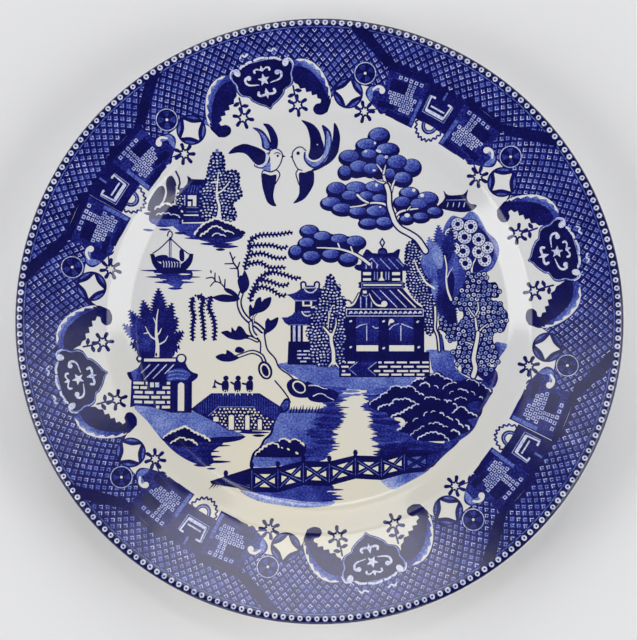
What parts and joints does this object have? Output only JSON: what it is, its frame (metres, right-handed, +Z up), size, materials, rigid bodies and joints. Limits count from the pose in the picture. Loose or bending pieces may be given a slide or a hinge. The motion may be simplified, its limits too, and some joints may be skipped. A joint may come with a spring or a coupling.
{
  "type": "dinner plate",
  "caption": "Round glazed earthenware dinner plate with a wide sloping rim, a shallow well, a foot ring and blue printed decoration.",
  "frame": {"origin": "centre of the plane that the foot ring stands on", "axes": "+Z up along the axis of the plate, face up; +Y towards the top of the printed scene; +X to the scene's right"},
  "size_m": [0.2546, 0.2546, 0.0233],
  "materials": {
    "earthenware": "matt fired clay, bare only under the foot ring",
    "cobalt_print": "cobalt underglaze print, glossy",
    "glaze": "clear glossy glaze over cream-white clay"
  },
  "bodies": {
    "root": {"earthenware_body": "earthenware", "centre_print": "cobalt_print", "border_print": "cobalt_print", "outer_glaze": "glaze", "base_glaze": "glaze"}
  },
  "joints": []
}
